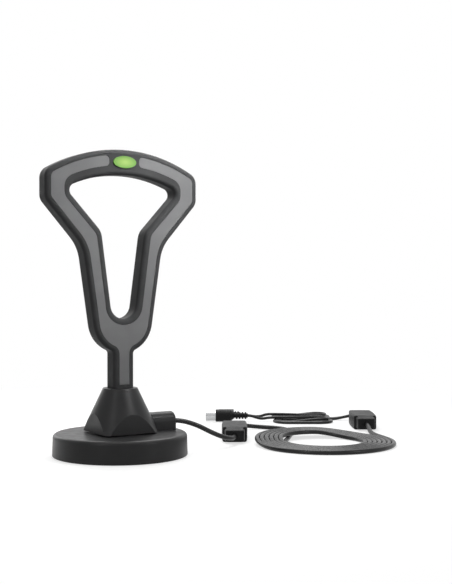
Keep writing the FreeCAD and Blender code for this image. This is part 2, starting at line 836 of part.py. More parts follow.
front_half = head_half("head_front_half", False)
rear_half = head_half("head_rear_half", True)


def plan(name, draw):
    sketch = doc.addObject("Sketcher::SketchObject", name)
    sketch.Placement = Placement(V(0, 0, 0), Rotation(V(1, 0, 0), 90))
    draw(sketch)
    doc.recompute()
    return sketch


outline_plan = plan("head_outline_plan", head_outline)
opening_plan = plan("head_opening_plan", head_opening)
raised_plan = plan("head_opening_raised_plan", head_opening)
raised_plan.setExpression("Placement.Base.z", size.inlay_top_extra.text)


def inset(name, base, amount):
    moved = doc.addObject("Part::Offset2D", name)
    moved.Source = base
    bind(moved, Value=amount)
    return moved


def loop_solid(name, margin, inner_margin, start, end):
    """Solid along the loop and stem, within margins of the outline and the opening."""
    outer = extrude(name + "_outer", inset(name + "_outer_line", outline_plan, -margin), start, end)
    inner = extrude(name + "_inner", inset(name + "_inner_line", opening_plan, inner_margin), start, end)
    solid = cut(name, outer, inner)
    doc.recompute()
    return solid


head_top = collar_top + size.head_top_height
opening_top = collar_top + size.opening_top_height


def inlay_solid(name, slack, start, end):
    """Strip along the loop and stem that stops beside the badge and above the collar.

    Under the top bar the rim is broader, so the opening is also cut from a little higher up.
    """
    outer_margin, inner_margin = size.inlay_margin + slack, size.inlay_inner_margin + slack
    strip = loop_solid(name + "_loop", outer_margin, inner_margin, start, end)
    raised = extrude(name + "_raised", inset(name + "_raised_line", raised_plan, inner_margin), start, end)
    half = size.inlay_badge_half_gap + slack
    front, back = -end - size.over_cut, -start + size.over_cut
    gap = box(name + "_badge_gap", -half, half, front, back, opening_top, head_top)
    foot = box(name + "_foot", -size.stem_half_width, size.stem_half_width, front, back, stem_foot,
               collar_top + size.inlay_stem_height + slack)
    blank = cut(name + "_blank", strip, raised, gap, foot)
    doc.recompute()
    ends = [i + 1 for i, edge in enumerate(blank.Shape.Edges)
            if abs(abs(edge.BoundBox.Center.x) - half.value) < 1e-4 and edge.BoundBox.XLength < 1e-4
            and edge.BoundBox.ZLength < 1e-4]
    rounded = doc.addObject("Part::Fillet", name)
    rounded.Base = blank
    r = (size.inlay_end_round - slack).value
    rounded.Edges = [(i, r, r) for i in ends]
    doc.recompute()
    return rounded


seat = size.head_half_depth - size.inlay_recess
recess = inlay_solid("inlay_recess_tool", as_size(0), seat, size.head_half_depth + size.over_cut)
inlay = inlay_solid("front_inlay", size.fit_gap, seat, seat + size.inlay_thickness)
channel = loop_solid("channel_tool", size.shell_wall, size.shell_wall,
                     -size.channel_depth, size.channel_depth)
lead_hole = cylinder("stem_lead_hole", inner_bore_radius, size.shell_wall + size.over_cut * 2, 0, 0,
                     stem_foot - size.over_cut)
keep(cut("head_front_shell", front_half, recess, channel, lead_hole))
keep(cut("head_rear_shell", rear_half, channel, lead_hole))
keep(inlay)

# Antenna element: a flat strip on the floor of the rear shell's channel, open at its feed

element_margin = size.shell_wall + size.element_inset
strip = loop_solid("element_loop", element_margin, element_margin, -size.channel_depth,
                   size.element_thickness - size.channel_depth)
feed_top = collar_top + size.opening_low_height
element_back = size.channel_depth + size.over_cut
feed_gap = box("element_feed_gap", -size.element_half_gap, size.element_half_gap, 0, element_back,
               stem_foot, feed_top)
bulb_foot = size.head_bulb_height - size.head_bulb_radius
stem_end = collar_top + bulb_foot + element_margin + size.stem_root_round
stem_part = box("element_stem_part", -size.stem_half_width, size.stem_half_width, 0, element_back,
                stem_foot, stem_end)
keep(cut("antenna_element", strip, feed_gap, stem_part))

# Badge: a plain oval button on the middle of the top bar

oval = doc.addObject("Part::Ellipse", "badge_oval")
bind(oval, MajorRadius=size.badge_half_width, MinorRadius=size.badge_half_height)
oval.Placement = Placement(V(0, 0, 0), Rotation(V(1, 0, 0), 90))
move_to = (head_top + opening_top) * 0.5
oval.setExpression("Placement.Base.z", move_to.text)
badge = extrude("badge", oval, size.head_half_depth, size.head_half_depth + size.badge_thickness)
keep(badge, "badge")

# Inline boxes: two half shells with tapered necks, split level with the cords, and a board between


def box_half(label, sign, bores, place):
    """Half shell above (sign 1) or below (sign -1) the split; bores are (end, x, radius)."""
    body = new_body(label)
    below = sign < 0
    hl, hw, bulge = size.box_half_length, size.box_half_width, size.box_bulge
    shape = new_sketch(body, label + "_plan", "XY_Plane")
    radius = (hl * hl + bulge * bulge) / (bulge * 2)
    swing = math.asin(hl.value / radius.value)
    offset = hw.value + bulge.value - radius.value
    right = shape.addGeometry(Part.ArcOfCircle(
        Part.Circle(V(offset, 0, 0), V(0, 0, 1), radius.value), -swing, swing), False)
    left = shape.addGeometry(Part.ArcOfCircle(
        Part.Circle(V(-offset, 0, 0), V(0, 0, 1), radius.value), math.pi - swing, math.pi + swing), False)
    far = shape.addGeometry(Part.LineSegment(V(hw.value, hl.value, 0), V(-hw.value, hl.value, 0)), False)
    near = shape.addGeometry(Part.LineSegment(V(-hw.value, -hl.value, 0), V(hw.value, -hl.value, 0)), False)
    rule(shape, "Coincident", right, 2, far, 1)
    rule(shape, "Coincident", far, 2, left, 1)
    rule(shape, "Coincident", left, 2, near, 1)
    rule(shape, "Coincident", near, 2, right, 1)
    datum(shape, "Radius", right, to=radius)
    datum(shape, "Radius", left, to=radius)
    pin(shape, far, 1, hw, hl)
    pin(shape, far, 2, -hw, hl)
    pin(shape, near, 1, -hw, -hl)
    pin(shape, near, 2, hw, -hl)
    pad(body, shape, size.box_half_height, reverse=below)
    fillet(body, is_upright, size.box_corner_round)
    fillet(body, lambda edge: lies_at(edge, "z", sign * size.box_half_height.value), size.box_edge_round)
    necks = new_sketch(body, label + "_necks", "XY_Plane")
    root, end = hl - size.box_wall, hl + size.box_neck_length
    nr, ne = size.box_neck_root_half_width, size.box_neck_end_half_width
    outline(necks, [(nr, root), (ne, end), (-ne, end), (-nr, root)])
    outline(necks, [(nr, -root), (ne, -end), (-ne, -end), (-nr, -root)])
    pad(body, necks, size.box_neck_half_height, reverse=below)
    fillet(body, lambda edge: is_upright(edge)
           and abs(edge.BoundBox.Center.y) > hl.value + size.box_wall.value, size.box_corner_round)
    fillet(body, lambda edge: lies_at(edge, "z", sign * size.box_neck_half_height.value)
           and abs(edge.BoundBox.Center.y) > hl.value + 0.1, size.box_neck_round)
    ramp_half = ne - size.box_neck_round * 0.5
    ramps = new_sketch(body, label + "_ramps", "YZ_Plane", -ramp_half)
    lid, level = size.box_half_height * sign, size.box_neck_half_height * sign
    for way in (1, -1):
        crest, foot = (hl - size.box_edge_round) * way, (hl + size.box_ramp_length) * way
        outline(ramps, [(crest, lid), (foot, level), (crest, level)])
    pad(body, ramps, ramp_half * 2)
    seat = new_sketch(body, label + "_board_seat", "XY_Plane")
    x, y = hw - size.box_wall, hl - size.box_wall
    rectangle(seat, -x, x, -y, y)
    pocket(body, seat, size.board_thickness * 0.5, reverse=not below)
    room = new_sketch(body, label + "_room", "XY_Plane")
    x, y = x - size.box_ledge, y - size.box_ledge
    rectangle(room, -x, x, -y, y)
    pocket(body, room, size.box_half_height - size.box_wall, reverse=not below)
    for number, (end_sign, x, radius) in enumerate(bores):
        bore = new_sketch(body, f"{label}_bore{number}", "XZ_Plane", end * -end_sign)
        circle(bore, x, 0, radius + size.fit_gap)
        depth = size.box_neck_length + size.box_wall + size.box_ledge + size.over_cut
        pocket(body, bore, depth, reverse=end_sign > 0)
    body.Placement = place
    return keep(body)


def inline_box(prefix, bores, across, along):
    place = laid(across, along, size.box_half_height.value)
    box_half(prefix + "_upper_shell", 1, bores, place)
    box_half(prefix + "_lower_shell", -1, bores, place)
    board = new_body(prefix + "_board")
    shape = new_sketch(board, prefix + "_board_plan", "XY_Plane", size.board_thickness * -0.5)
    x = size.box_half_width - size.box_wall - size.fit_gap
    y = size.box_half_length - size.box_wall - size.fit_gap
    rectangle(shape, -x, x, -y, y)
    pad(board, shape, size.board_thickness)
    board.Placement = place
    keep(board)


# Cords and what lies on them, in a layout turned about Z: across to the right, along away from the front

LAYOUT_TURN = 31.5
turned = Rotation(V(0, 0, 1), -LAYOUT_TURN)


def laid_point(across, along, height):
    return turned.multVec(V(across, along, height))


def laid(across, along, height):
    return Placement(laid_point(across, along, height), turned)


def tube(label, points, radius, bend=None, into=()):
    """Plain tube along straight runs and tangent arcs, each arc as large as its runs allow.

    A bend sets the arcs instead. An end that reaches into a coil is trimmed to the coil's side.
    """
    edges = []
    start = points[0]
    length = 0.0
    tightest = None
    for before, corner, after in zip(points, points[1:], points[2:]):
        back, ahead = before - corner, after - corner
        turn = math.pi - back.getAngle(ahead)
        reach = 0.45 * min(back.Length, ahead.Length)
        if bend is not None:
            reach = bend * math.tan(turn / 2)
        r = reach / math.tan(turn / 2)
        tightest = r if tightest is None else min(tightest, r)
        back.normalize()
        ahead.normalize()
        first, second = corner + back * reach, corner + ahead * reach
        inward = (back + ahead).normalize()
        middle = corner + inward * (r / math.cos(turn / 2) - r)
        edges.append(Part.LineSegment(start, first).toShape())
        edges.append(Part.Arc(first, middle, second).toShape())
        length += (first - start).Length + r * turn
        start = second
    edges.append(Part.LineSegment(start, points[-1]).toShape())
    length += (points[-1] - start).Length
    path = Part.Wire(edges)
    section = Part.Wire(Part.Circle(points[0], points[1] - points[0], radius).toShape())
    solid = path.makePipeShell([section], True, False)
    wanted = math.pi * radius ** 2 * length
    print(f"{label}: length {length:.1f}, tightest radius {tightest:.1f} "
          f"({tightest / radius / 2:.1f} diameters), "
          f"volume {solid.Volume / wanted:.4f} of section times length")
    for block in into:
        solid = solid.cut(block)
    piece = doc.addObject("Part::Feature", label)
    piece.Label = label
    piece.Shape = solid.Solids[0]
    return keep(piece)


# The inner lead runs from the gland through the collar and stem to the feed of the element

grip_start = size.gland_end - size.gland_grip
opening_foot = size.opening_low_height - size.opening_low_radius
feed_height = collar_top + (bulb_foot + opening_foot) * 0.5
tube("inner_lead", [
    V(grip_start.value, 0, gland_axis.value), V(0, 0, gland_axis.value), V(0, 0, feed_height.value)],
     size.inner_lead_radius.value, bend=size.inner_lead_bend.value)

BOX_ONE = (85.3, 87.1)
BOX_TWO = (199.4, 162.1)
COIL = (155.8, 54.5)
USB_HANK = (149.3, 223.0)
AERIAL_HANK = (149.3, 191.3)
USB_TIP = (59.8, 221.7)
AERIAL_TIP = (59.8, 196.9)

lead_bores = [(1, 0, size.lead_radius), (-1, 0, size.lead_radius)]
inline_box("amplifier", lead_bores, *BOX_ONE)
split_bores = [(1, size.thin_cord_spread, size.thin_cord_radius),
               (1, -size.thin_cord_spread, size.thin_cord_radius), (-1, 0, size.lead_radius)]
inline_box("inserter", split_bores, *BOX_TWO)

# Flat power plug: a folded steel shell around a tongue with four contacts, in a ribbed grip

usb_place = laid(*USB_TIP, size.usb_grip_height.value / 2)
shell = new_body("usb_shell")
section = new_sketch(shell, "usb_shell_section", "YZ_Plane")
half_w, half_h = size.usb_shell_width * 0.5, size.usb_shell_height * 0.5
shell_corner = size.usb_shell_wall + size.usb_shell_inner_round
rounded_rectangle(section, half_w, half_h, shell_corner)
rounded_rectangle(section, half_w - size.usb_shell_wall, half_h - size.usb_shell_wall,
                  size.usb_shell_inner_round)
shell_length = size.usb_shell_reach + size.usb_shell_sunk
pad(shell, section, shell_length)
windows = new_sketch(shell, "usb_windows", "XY_Plane", half_h)
for sign in (1, -1):
    x, y = size.usb_window_from_tip, size.usb_window_half_spread * sign
    rectangle(windows, x - size.usb_window_length * 0.5, x + size.usb_window_length * 0.5,
              y - size.usb_window_width * 0.5, y + size.usb_window_width * 0.5)
pocket(shell, windows, size.usb_shell_height)
shell.Placement = usb_place
keep(shell)

tongue = new_body("usb_tongue")
tongue_floor = -(half_h - size.usb_shell_wall)
flat_part = new_sketch(tongue, "usb_tongue_plan", "XY_Plane", tongue_floor)
tongue_half = half_w - size.usb_shell_wall - size.usb_shell_inner_round - size.fit_gap
rectangle(flat_part, size.usb_tongue_setback, shell_length, -tongue_half, tongue_half)
pad(tongue, flat_part, size.usb_tongue_thickness)
tongue.Placement = usb_place
keep(tongue)

strips = []
for i in range(4):
    y = size.usb_contact_pitch * (i - 1.5)
    x = size.usb_tongue_setback * 2
    strips.append(box(f"usb_contact{i}", x, x + size.usb_contact_length, y - size.usb_contact_width * 0.5,
                      y + size.usb_contact_width * 0.5, tongue_floor + size.usb_tongue_thickness,
                      tongue_floor + size.usb_tongue_thickness + size.usb_contact_thickness))
contacts = group("usb_contacts", strips)
contacts.Placement = usb_place

grip = new_body("usb_overmould")
block = new_sketch(grip, "usb_grip_section", "YZ_Plane", size.usb_shell_reach)
rounded_rectangle(block, size.usb_grip_width * 0.5, size.usb_grip_height * 0.5, size.usb_grip_round)
pad(grip, block, size.usb_grip_length)
grip_end = size.usb_shell_reach + size.usb_grip_length
neck = new_sketch(grip, "usb_neck", "YZ_Plane", grip_end)
circle(neck, 0, 0, size.usb_neck_radius)
pad(grip, neck, size.usb_neck_length)
for i in range(2):
    start = grip_end + (size.usb_neck_length - size.usb_ring_length) * (0.25 + 0.75 * i)
    band = new_sketch(grip, f"usb_ring{i}", "YZ_Plane", start)
    circle(band, 0, 0, size.usb_ring_radius)
    pad(grip, band, size.usb_ring_length)
mouth = new_sketch(grip, "usb_mouth", "YZ_Plane", size.usb_shell_reach)
rounded_rectangle(mouth, half_w + size.fit_gap, half_h + size.fit_gap, shell_corner + size.fit_gap)
pocket(grip, mouth, size.usb_shell_sunk, reverse=True)
entry = new_sketch(grip, "usb_cord_entry", "YZ_Plane", grip_end + size.usb_neck_length)
circle(entry, 0, 0, size.thin_cord_radius + size.fit_gap)
pocket(grip, entry, size.usb_neck_length)
grip.Placement = usb_place
keep(grip)

# Aerial plug: a sprung sleeve round a pin in an insulator, in a turned grip with a ribbed neck

aerial_grip_radius = size.aerial_sleeve_radius + size.fit_gap + size.aerial_grip_wall
aerial_place = laid(*AERIAL_TIP, aerial_grip_radius.value)
sleeve_inner = size.aerial_sleeve_radius - size.aerial_sleeve_wall
sleeve_end = size.aerial_sleeve_reach + size.aerial_sleeve_sunk
root_radius = size.aerial_sleeve_radius - size.aerial_sleeve_step
root_inner = sleeve_inner - size.aerial_sleeve_step


def turned_piece(label, outer, inner, start, end):
    body = new_body(label)
    sketch = new_sketch(body, label + "_section", "YZ_Plane", start)
    circle(sketch, 0, 0, outer)
    if inner is not None:
        circle(sketch, 0, 0, inner)
    pad(body, sketch, end - start)
    body.Placement = aerial_place
    return keep(body)


sleeve = new_body("aerial_sleeve")
profile = new_sketch(sleeve, "aerial_sleeve_profile", "XZ_Plane")
step_start = size.aerial_sleeve_reach - size.aerial_sleeve_wall
outline(profile, [
    (0, sleeve_inner), (0, size.aerial_sleeve_radius),
    (size.aerial_sleeve_reach, size.aerial_sleeve_radius), (size.aerial_sleeve_reach, root_radius),
    (sleeve_end, root_radius), (sleeve_end, root_inner),
    (step_start, root_inner), (step_start, sleeve_inner)])
revolve(sleeve, profile, "H_Axis")
sleeve.Placement = aerial_place
keep(sleeve)
turned_piece("aerial_insulator", root_inner - size.fit_gap, size.aerial_pin_radius + size.fit_gap,
             sleeve_end - size.aerial_insulator_length, sleeve_end)
turned_piece("aerial_pin", size.aerial_pin_radius, None, size.aerial_pin_setback, sleeve_end)

grip = new_body("aerial_overmould")
profile = new_sketch(grip, "aerial_grip_profile", "XZ_Plane")
grip_start_x = size.aerial_sleeve_reach
grip_end = grip_start_x + size.aerial_grip_length
neck_start = grip_end + size.aerial_taper_length
cord_bore = size.thin_cord_radius + size.fit_gap
corners = [(grip_start_x, root_radius + size.fit_gap), (grip_start_x, aerial_grip_radius),
           (grip_end, aerial_grip_radius), (neck_start, size.aerial_neck_radius)]
rib_gap = size.aerial_rib_pitch - size.aerial_rib_length
for i in range(int(SIZES["aerial_rib_count"])):
    start = neck_start + rib_gap + size.aerial_rib_pitch * i
    corners += [(start, size.aerial_neck_radius), (start, size.aerial_rib_radius),
                (start + size.aerial_rib_length, size.aerial_rib_radius),
                (start + size.aerial_rib_length, size.aerial_neck_radius)]
aerial_end = neck_start + rib_gap * 2 + size.aerial_rib_pitch * (int(SIZES["aerial_rib_count"]) - 1) \
    + size.aerial_rib_length
corners += [(aerial_end, size.aerial_neck_radius), (aerial_end, cord_bore), (sleeve_end, cord_bore),
            (sleeve_end, root_radius + size.fit_gap)]
outline(profile, corners)
revolve(grip, profile, "H_Axis")
fillet(grip, lambda edge: edge.BoundBox.XLength < 1e-4
       and abs(edge.BoundBox.ZMax - aerial_grip_radius.value) < 1e-4, size.aerial_grip_wall * 0.7)
grip.Placement = aerial_place
keep(grip)

# Coil and hanks: one closed solid each, two cords high


def bundle(label, draw_outer, draw_inner, height, edge_round, place):
    """Rounded ring of wound cord; gives back its block with sharp edges, which trims the cord's ends."""
    body = new_body(label)
    sketch = new_sketch(body, label + "_plan", "XY_Plane")
    draw_outer(sketch)
    draw_inner(sketch)
    block = pad(body, sketch, height).Shape.copy()
    block.Placement = place
    fillet(body, lambda edge: lies_at(edge, "z", 0.0) or lies_at(edge, "z", height.value), edge_round)
    body.Placement = place
    keep(body)
    return block


def hank(label, across, along):
    return bundle(label, lambda sketch: stadium(sketch, size.hank_half_length, size.hank_half_width),
                  lambda sketch: stadium(sketch, size.hank_half_length - size.hank_band,
                                         size.hank_half_width - size.hank_band),
                  size.thin_cord_radius * 4, size.thin_cord_radius, laid(across, along, 0))


main_coil = bundle("main_coil", lambda sketch: circle(sketch, 0, 0, size.coil_outer_radius),
                   lambda sketch: circle(sketch, 0, 0, size.coil_inner_radius),
                   size.lead_radius * 4, size.lead_radius, laid(*COIL, 0))
usb_hank = hank("usb_hank", *USB_HANK)
aerial_hank = hank("aerial_hank", *AERIAL_HANK)

# Cord runs on the floor; each starts or ends inside a neck, a gland or a plug, or at a coil's side

LEAD_ROUTE = [(55.4, 27.2, 19.4), (66.7, 29.3, 13.2), (76.4, 35.4, 8.4), (82.6, 43.2, 6.4),
              (85.3, 51.6, 6.2), (85.3, 59.0, 6.2)]
LOOP_ROUTE = [(85.3, 115.2, 6.2), (85.3, 125.8, 6.2), (90.6, 136.0, 4.8), (100.4, 142.6, 2.9),
              (111.8, 143.8, 1.9), (122.4, 139.4, 1.85), (130.0, 130.2, 1.85), (132.8, 118.5, 1.85),
              (132.9, 108.6, 1.85), (133.4, 99.0, 1.85)]
TAIL_ROUTE = [(198.0, 83.5, 1.85), (198.7, 93.4, 1.85), (199.5, 103.4, 2.1), (199.9, 113.8, 3.9),
              (199.4, 124.2, 6.2), (199.4, 134.0, 6.2)]
USB_ROUTE = [(201.1, 190.2, 6.2), (201.1, 199.0, 6.2), (196.8, 206.6, 4.8), (189.0, 210.6, 2.8),
             (180.4, 211.6, 1.4), (172.6, 211.9, 1.3), (166.4, 212.9, 1.3)]
AERIAL_ROUTE = [(197.7, 190.2, 6.2), (197.7, 197.4, 6.2), (193.4, 202.8, 5.0), (186.4, 205.2, 3.0),
                (179.2, 205.4, 1.5), (172.2, 204.3, 1.3), (165.8, 201.4, 1.3)]
USB_PLUG_ROUTE = [(126.4, 222.3, 1.3), (118.4, 221.7, 1.3), (110.0, 221.2, 1.5), (101.8, 221.2, 2.9),
                  (94.2, 221.7, 4.0), (87.2, 221.7, 4.0)]
AERIAL_PLUG_ROUTE = [(126.8, 195.9, 1.3), (120.2, 196.9, 1.3), (113.6, 197.4, 1.7), (107.2, 197.3, 3.5),
                     (101.2, 196.9, 5.6), (95.0, 196.9, 5.6)]
GLAND_RUN = 13.5

lead_points = [V(grip_start.value, 0, gland_axis.value),
               V(grip_start.value + GLAND_RUN, 0, gland_axis.value)]
tube("lead_cord", lead_points + [laid_point(*spot) for spot in LEAD_ROUTE], size.lead_radius.value)
for label, route, radius, into in (
        ("loop_cord", LOOP_ROUTE, size.lead_radius, [main_coil]),
        ("tail_cord", TAIL_ROUTE, size.lead_radius, [main_coil]),
        ("usb_cord", USB_ROUTE, size.thin_cord_radius, [usb_hank]),
        ("aerial_cord", AERIAL_ROUTE, size.thin_cord_radius, [aerial_hank]),
        ("usb_plug_cord", USB_PLUG_ROUTE, size.thin_cord_radius, [usb_hank]),
        ("aerial_plug_cord", AERIAL_PLUG_ROUTE, size.thin_cord_radius, [aerial_hank])):
    tube(label, [laid_point(*spot) for spot in route], radius.value, into=into)

# Every object has to be sound before anything is written

doc.recompute()
for thing in doc.Objects:
    if "Invalid" in thing.State or "Error" in thing.State:
        raise RuntimeError(f"{thing.Label} failed: {thing.State}")
for piece in subparts:
    if piece.Shape.isNull() or not piece.Shape.isValid() or not piece.Shape.Solids:
        raise RuntimeError(f"{piece.Label} has no sound shape")

os.makedirs("parts", exist_ok=True)
for piece in subparts:
    piece.Shape.exportStep(f"parts/{piece.Label}.step")
print(len(subparts), "pieces written")
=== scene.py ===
"""Magnetic base television antenna: its looks, in metres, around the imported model."""
import math

import bpy
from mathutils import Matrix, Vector


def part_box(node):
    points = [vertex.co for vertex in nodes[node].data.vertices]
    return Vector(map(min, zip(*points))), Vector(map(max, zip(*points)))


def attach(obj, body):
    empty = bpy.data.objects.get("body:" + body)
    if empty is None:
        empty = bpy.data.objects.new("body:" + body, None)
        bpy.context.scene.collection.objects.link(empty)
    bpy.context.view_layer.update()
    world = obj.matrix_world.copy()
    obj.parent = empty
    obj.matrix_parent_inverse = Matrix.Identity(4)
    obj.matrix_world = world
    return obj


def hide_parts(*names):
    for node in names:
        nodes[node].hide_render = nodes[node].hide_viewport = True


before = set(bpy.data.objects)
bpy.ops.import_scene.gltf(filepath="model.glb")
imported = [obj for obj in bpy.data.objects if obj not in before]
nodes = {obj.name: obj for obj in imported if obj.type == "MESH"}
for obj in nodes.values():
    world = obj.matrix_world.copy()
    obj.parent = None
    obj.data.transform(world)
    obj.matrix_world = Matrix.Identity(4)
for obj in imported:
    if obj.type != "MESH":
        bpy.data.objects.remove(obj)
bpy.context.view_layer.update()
scene = bpy.context.scene

MM = 0.001
UP = Vector((0, 0, 1))

# Camera: the photograph's 452 by 584 pixels seen through a long lens, almost level.
LENS_MM = 67.81
SENSOR_MM = 36.0
CAMERA_PLACE = Vector((-0.3585, -0.7349, 0.1284))
AWAY = Vector((0.5225, 0.8526, 0.0))
RIGHT = Vector((AWAY.y, -AWAY.x, 0.0))
PITCH_DOWN = math.radians(0.52)

# Cords, in millimetres: the flat layout is turned about the upright axis, as in the part's source.
LAYOUT_TURN = math.radians(31.5)
LEAD_DIAMETER = 3.7
THIN_DIAMETER = 2.6
LEAD_FLOOR = LEAD_DIAMETER / 2
THIN_FLOOR = THIN_DIAMETER / 2
THIN_OVER = THIN_FLOOR + THIN_DIAMETER

# The cords' axes at the boxes' necks and the plugs, and where they leave the boxes.
NECK_HEIGHT = 6.2
AMPLIFIER_ACROSS = 85.3
INSERTER_ACROSS = 199.4
USB_ACROSS = 201.1
USB_PLUG_ALONG = 221.7
USB_PLUG_HEIGHT = 4.0
AERIAL_ACROSS = 197.7
AERIAL_PLUG_ALONG = 196.9
AERIAL_PLUG_HEIGHT = 5.6

# Coil: the turns run from the inside out. After a first level stretch each one passes over the
# run that comes in, and the hump has its corners at these degrees round the coil.
COIL_CENTRE = (155.8, 54.5)
COIL_INNER = 30.5
COIL_OUTER = 55.0
COIL_START = math.radians(170)
COIL_END = math.radians(15 + 7 * 360)
COIL_STEP = math.radians(15)
COIL_LEVEL = math.radians(120)
HUMP_RISE = 45
HUMP_TOP = 100
HUMP_FALL = 165
HUMP_END = 220

# Hanks: two folds joined by straight runs, with each turn inside the one before.
HANK_HALF_RUN = 13.9
HANK_RADII = (12.9, 10.3, 7.7)
HANK_LAST_RADIUS = 9.0
HANK_STEPS = 6
NEAR_RUN = -1
FAR_RUN = 1
USB_HANK_CENTRE = (149.3, 223.0)
AERIAL_HANK_CENTRE = (149.3, 191.3)

# Routes where the cords aren't coiled: the gland's points in the object's frame in metres, the
# others as points of the layout.
GLAND_HEIGHT = 0.0234
GLAND_POINTS = [(0.035, 0.0, GLAND_HEIGHT), (0.0485, 0.0, GLAND_HEIGHT)]
LEAD_POINTS = [
    (55.4, 27.2, 19.4), (66.7, 29.3, 13.2), (76.4, 35.4, 8.4), (82.6, 43.2, 6.4),
    (AMPLIFIER_ACROSS, 51.6, NECK_HEIGHT), (AMPLIFIER_ACROSS, 59.0, NECK_HEIGHT),
]
LOOP_POINTS = [
    (AMPLIFIER_ACROSS, 115.2, NECK_HEIGHT), (AMPLIFIER_ACROSS, 125.8, NECK_HEIGHT),
    (90.6, 136.0, 4.8), (100.4, 142.6, 2.9), (111.8, 143.8, 1.9),
    (122.4, 139.4, LEAD_FLOOR), (130.0, 130.2, LEAD_FLOOR), (132.8, 118.5, LEAD_FLOOR),
    (132.9, 108.6, LEAD_FLOOR), (132.4, 99.0, LEAD_FLOOR), (130.2, 86.0, LEAD_FLOOR),
    (127.4, 70.0, LEAD_FLOOR),
]
TAIL_POINTS = [
    (204.7, 84.1, LEAD_FLOOR), (201.3, 97.6, LEAD_FLOOR), (199.6, 108.4, 2.4), (199.5, 116.6, 4.2),
    (INSERTER_ACROSS, 124.6, NECK_HEIGHT), (INSERTER_ACROSS, 134.0, NECK_HEIGHT),
]
USB_IN_POINTS = [
    (USB_ACROSS, 190.2, NECK_HEIGHT), (USB_ACROSS, 199.0, NECK_HEIGHT), (196.8, 206.2, 4.8),
    (189.0, 209.8, 2.8), (180.4, 210.2, 1.4), (172.4, 210.0, THIN_FLOOR),
]
USB_OUT_POINTS = [
    (158.5, 214.4, THIN_OVER), (149.0, 216.4, THIN_OVER), (139.6, 219.2, THIN_OVER),
    (131.0, 221.2, THIN_OVER), (123.4, 221.9, THIN_OVER), (116.2, 221.6, THIN_OVER),
    (109.8, 221.2, 1.6), (102.2, 221.2, 2.2),
    (94.2, USB_PLUG_ALONG, USB_PLUG_HEIGHT), (87.2, USB_PLUG_ALONG, USB_PLUG_HEIGHT),
]
AERIAL_IN_POINTS = [
    (AERIAL_ACROSS, 190.2, NECK_HEIGHT), (AERIAL_ACROSS, 197.4, NECK_HEIGHT), (193.4, 202.8, 5.0),
    (186.4, 205.2, 3.0), (179.2, 205.3, 1.5), (172.2, 204.2, THIN_FLOOR),
]
AERIAL_OUT_POINTS = [
    (158.5, 200.0, THIN_OVER), (149.0, 198.8, THIN_OVER), (139.6, 197.2, THIN_OVER),
    (131.0, 196.4, THIN_OVER), (123.4, 196.6, THIN_OVER),
    (117.2, 197.2, 3.6), (111.4, 197.5, 2.6), (106.6, 197.3, 3.6),
    (101.2, AERIAL_PLUG_ALONG, AERIAL_PLUG_HEIGHT), (95.0, AERIAL_PLUG_ALONG, AERIAL_PLUG_HEIGHT),
]

# Finishes: scales of the noise for each metre, the part of its range that is used, how fine it is,
# how far metal is stained, and depths in metres.
CLOUD_SCALE = 60
GLOSS_SCALE = 140
STAIN_SCALE = 90
LINE_SCALE = 900
LACQUER_SCALE = 500
TRACK_SCALE = 220
NOISE_LOW = 0.3
NOISE_HIGH = 0.7
FINE_ROUGHNESS = 0.6
STAIN_DARK = 0.93
STAIN_LIGHT = 1.04
LACQUER_DEPTH = 0.00002
TRACK_DEPTH = 0.00005

MOULDED = {
    "gloss_black": dict(
        colour=(0.021, 0.021, 0.0216), rough=0.36, spread=0.04, grain=2600, depth=0.000004,
        specular=0.17,
    ),
    "matte_black": dict(
        colour=(0.014, 0.014, 0.0145), rough=0.45, spread=0.06, grain=2200, depth=0.00002,
        specular=0.13,
    ),
    "shell_grey": dict(
        colour=(0.050, 0.0505, 0.0515), rough=0.48, spread=0.06, grain=2400, depth=0.00002,
        specular=0.04,
    ),
    "inlay_grey": dict(
        colour=(0.150, 0.151, 0.153), rough=0.42, spread=0.05, grain=2800, depth=0.000015,
        mottle=0.06, specular=0.15,
    ),
    "cord_black": dict(
        colour=(0.007, 0.007, 0.0074), rough=0.30, spread=0.04, grain=1400, depth=0.000006,
        specular=0.28,
    ),
    "ferrite": dict(
        colour=(0.08, 0.08, 0.085), rough=0.70, spread=0.08, grain=1800, depth=0.00006, mottle=0.25,
    ),
    "pad_rubber": dict(
        colour=(0.025, 0.025, 0.026), rough=0.85, spread=0.06, grain=1500, depth=0.0001, mottle=0.20,
    ),
    "insulator_white": dict(
        colour=(0.8, 0.8, 0.78), rough=0.45, spread=0.05, grain=1800, depth=0.00002, mottle=0.03,
    ),
}
PLATED = {
    "steel": dict(
        colour=(0.56, 0.57, 0.58), rough=0.30, spread=0.08, depth=0.00001, stretch=(1, 1, 0.04),
    ),
    "copper": dict(
        colour=(0.72, 0.43, 0.25), rough=0.28, spread=0.08, depth=0.00001, stretch=(0.05, 1, 1),
    ),
    "plug_steel": dict(colour=(0.55, 0.555, 0.56), rough=0.26, spread=0.06, depth=0.000008),
    "plug_chrome": dict(colour=(0.50, 0.505, 0.51), rough=0.14, spread=0.04, depth=0.000004),
    "contact_gold": dict(colour=(0.80, 0.62, 0.28), rough=0.22, spread=0.05, depth=0.000006),
}
BADGE_MIDDLE = (0.215, 0.345, 0.060)
BADGE_RIM = (0.096, 0.245, 0.024)
BADGE_FADE_START = 0.15
BADGE_FADE_END = 0.95
BOARD_MASKS = ((0.02, 0.13, 0.045), (0.03, 0.16, 0.06))
BOARD_TRACK = (0.09, 0.28, 0.11)
TRACK_WIDTH = 0.03

# Floor and world: how far from the middle the floor turns white, and how bright each is.
FLOOR_HALF = 6.0
FADE_NEAR = 0.30
FADE_FAR = 0.55
FLOOR_PAPER = 0.45
FLOOR_LIFT = 0.68
WORLD_LEVEL = 0.08
PLAIN_WHITE = 1.0

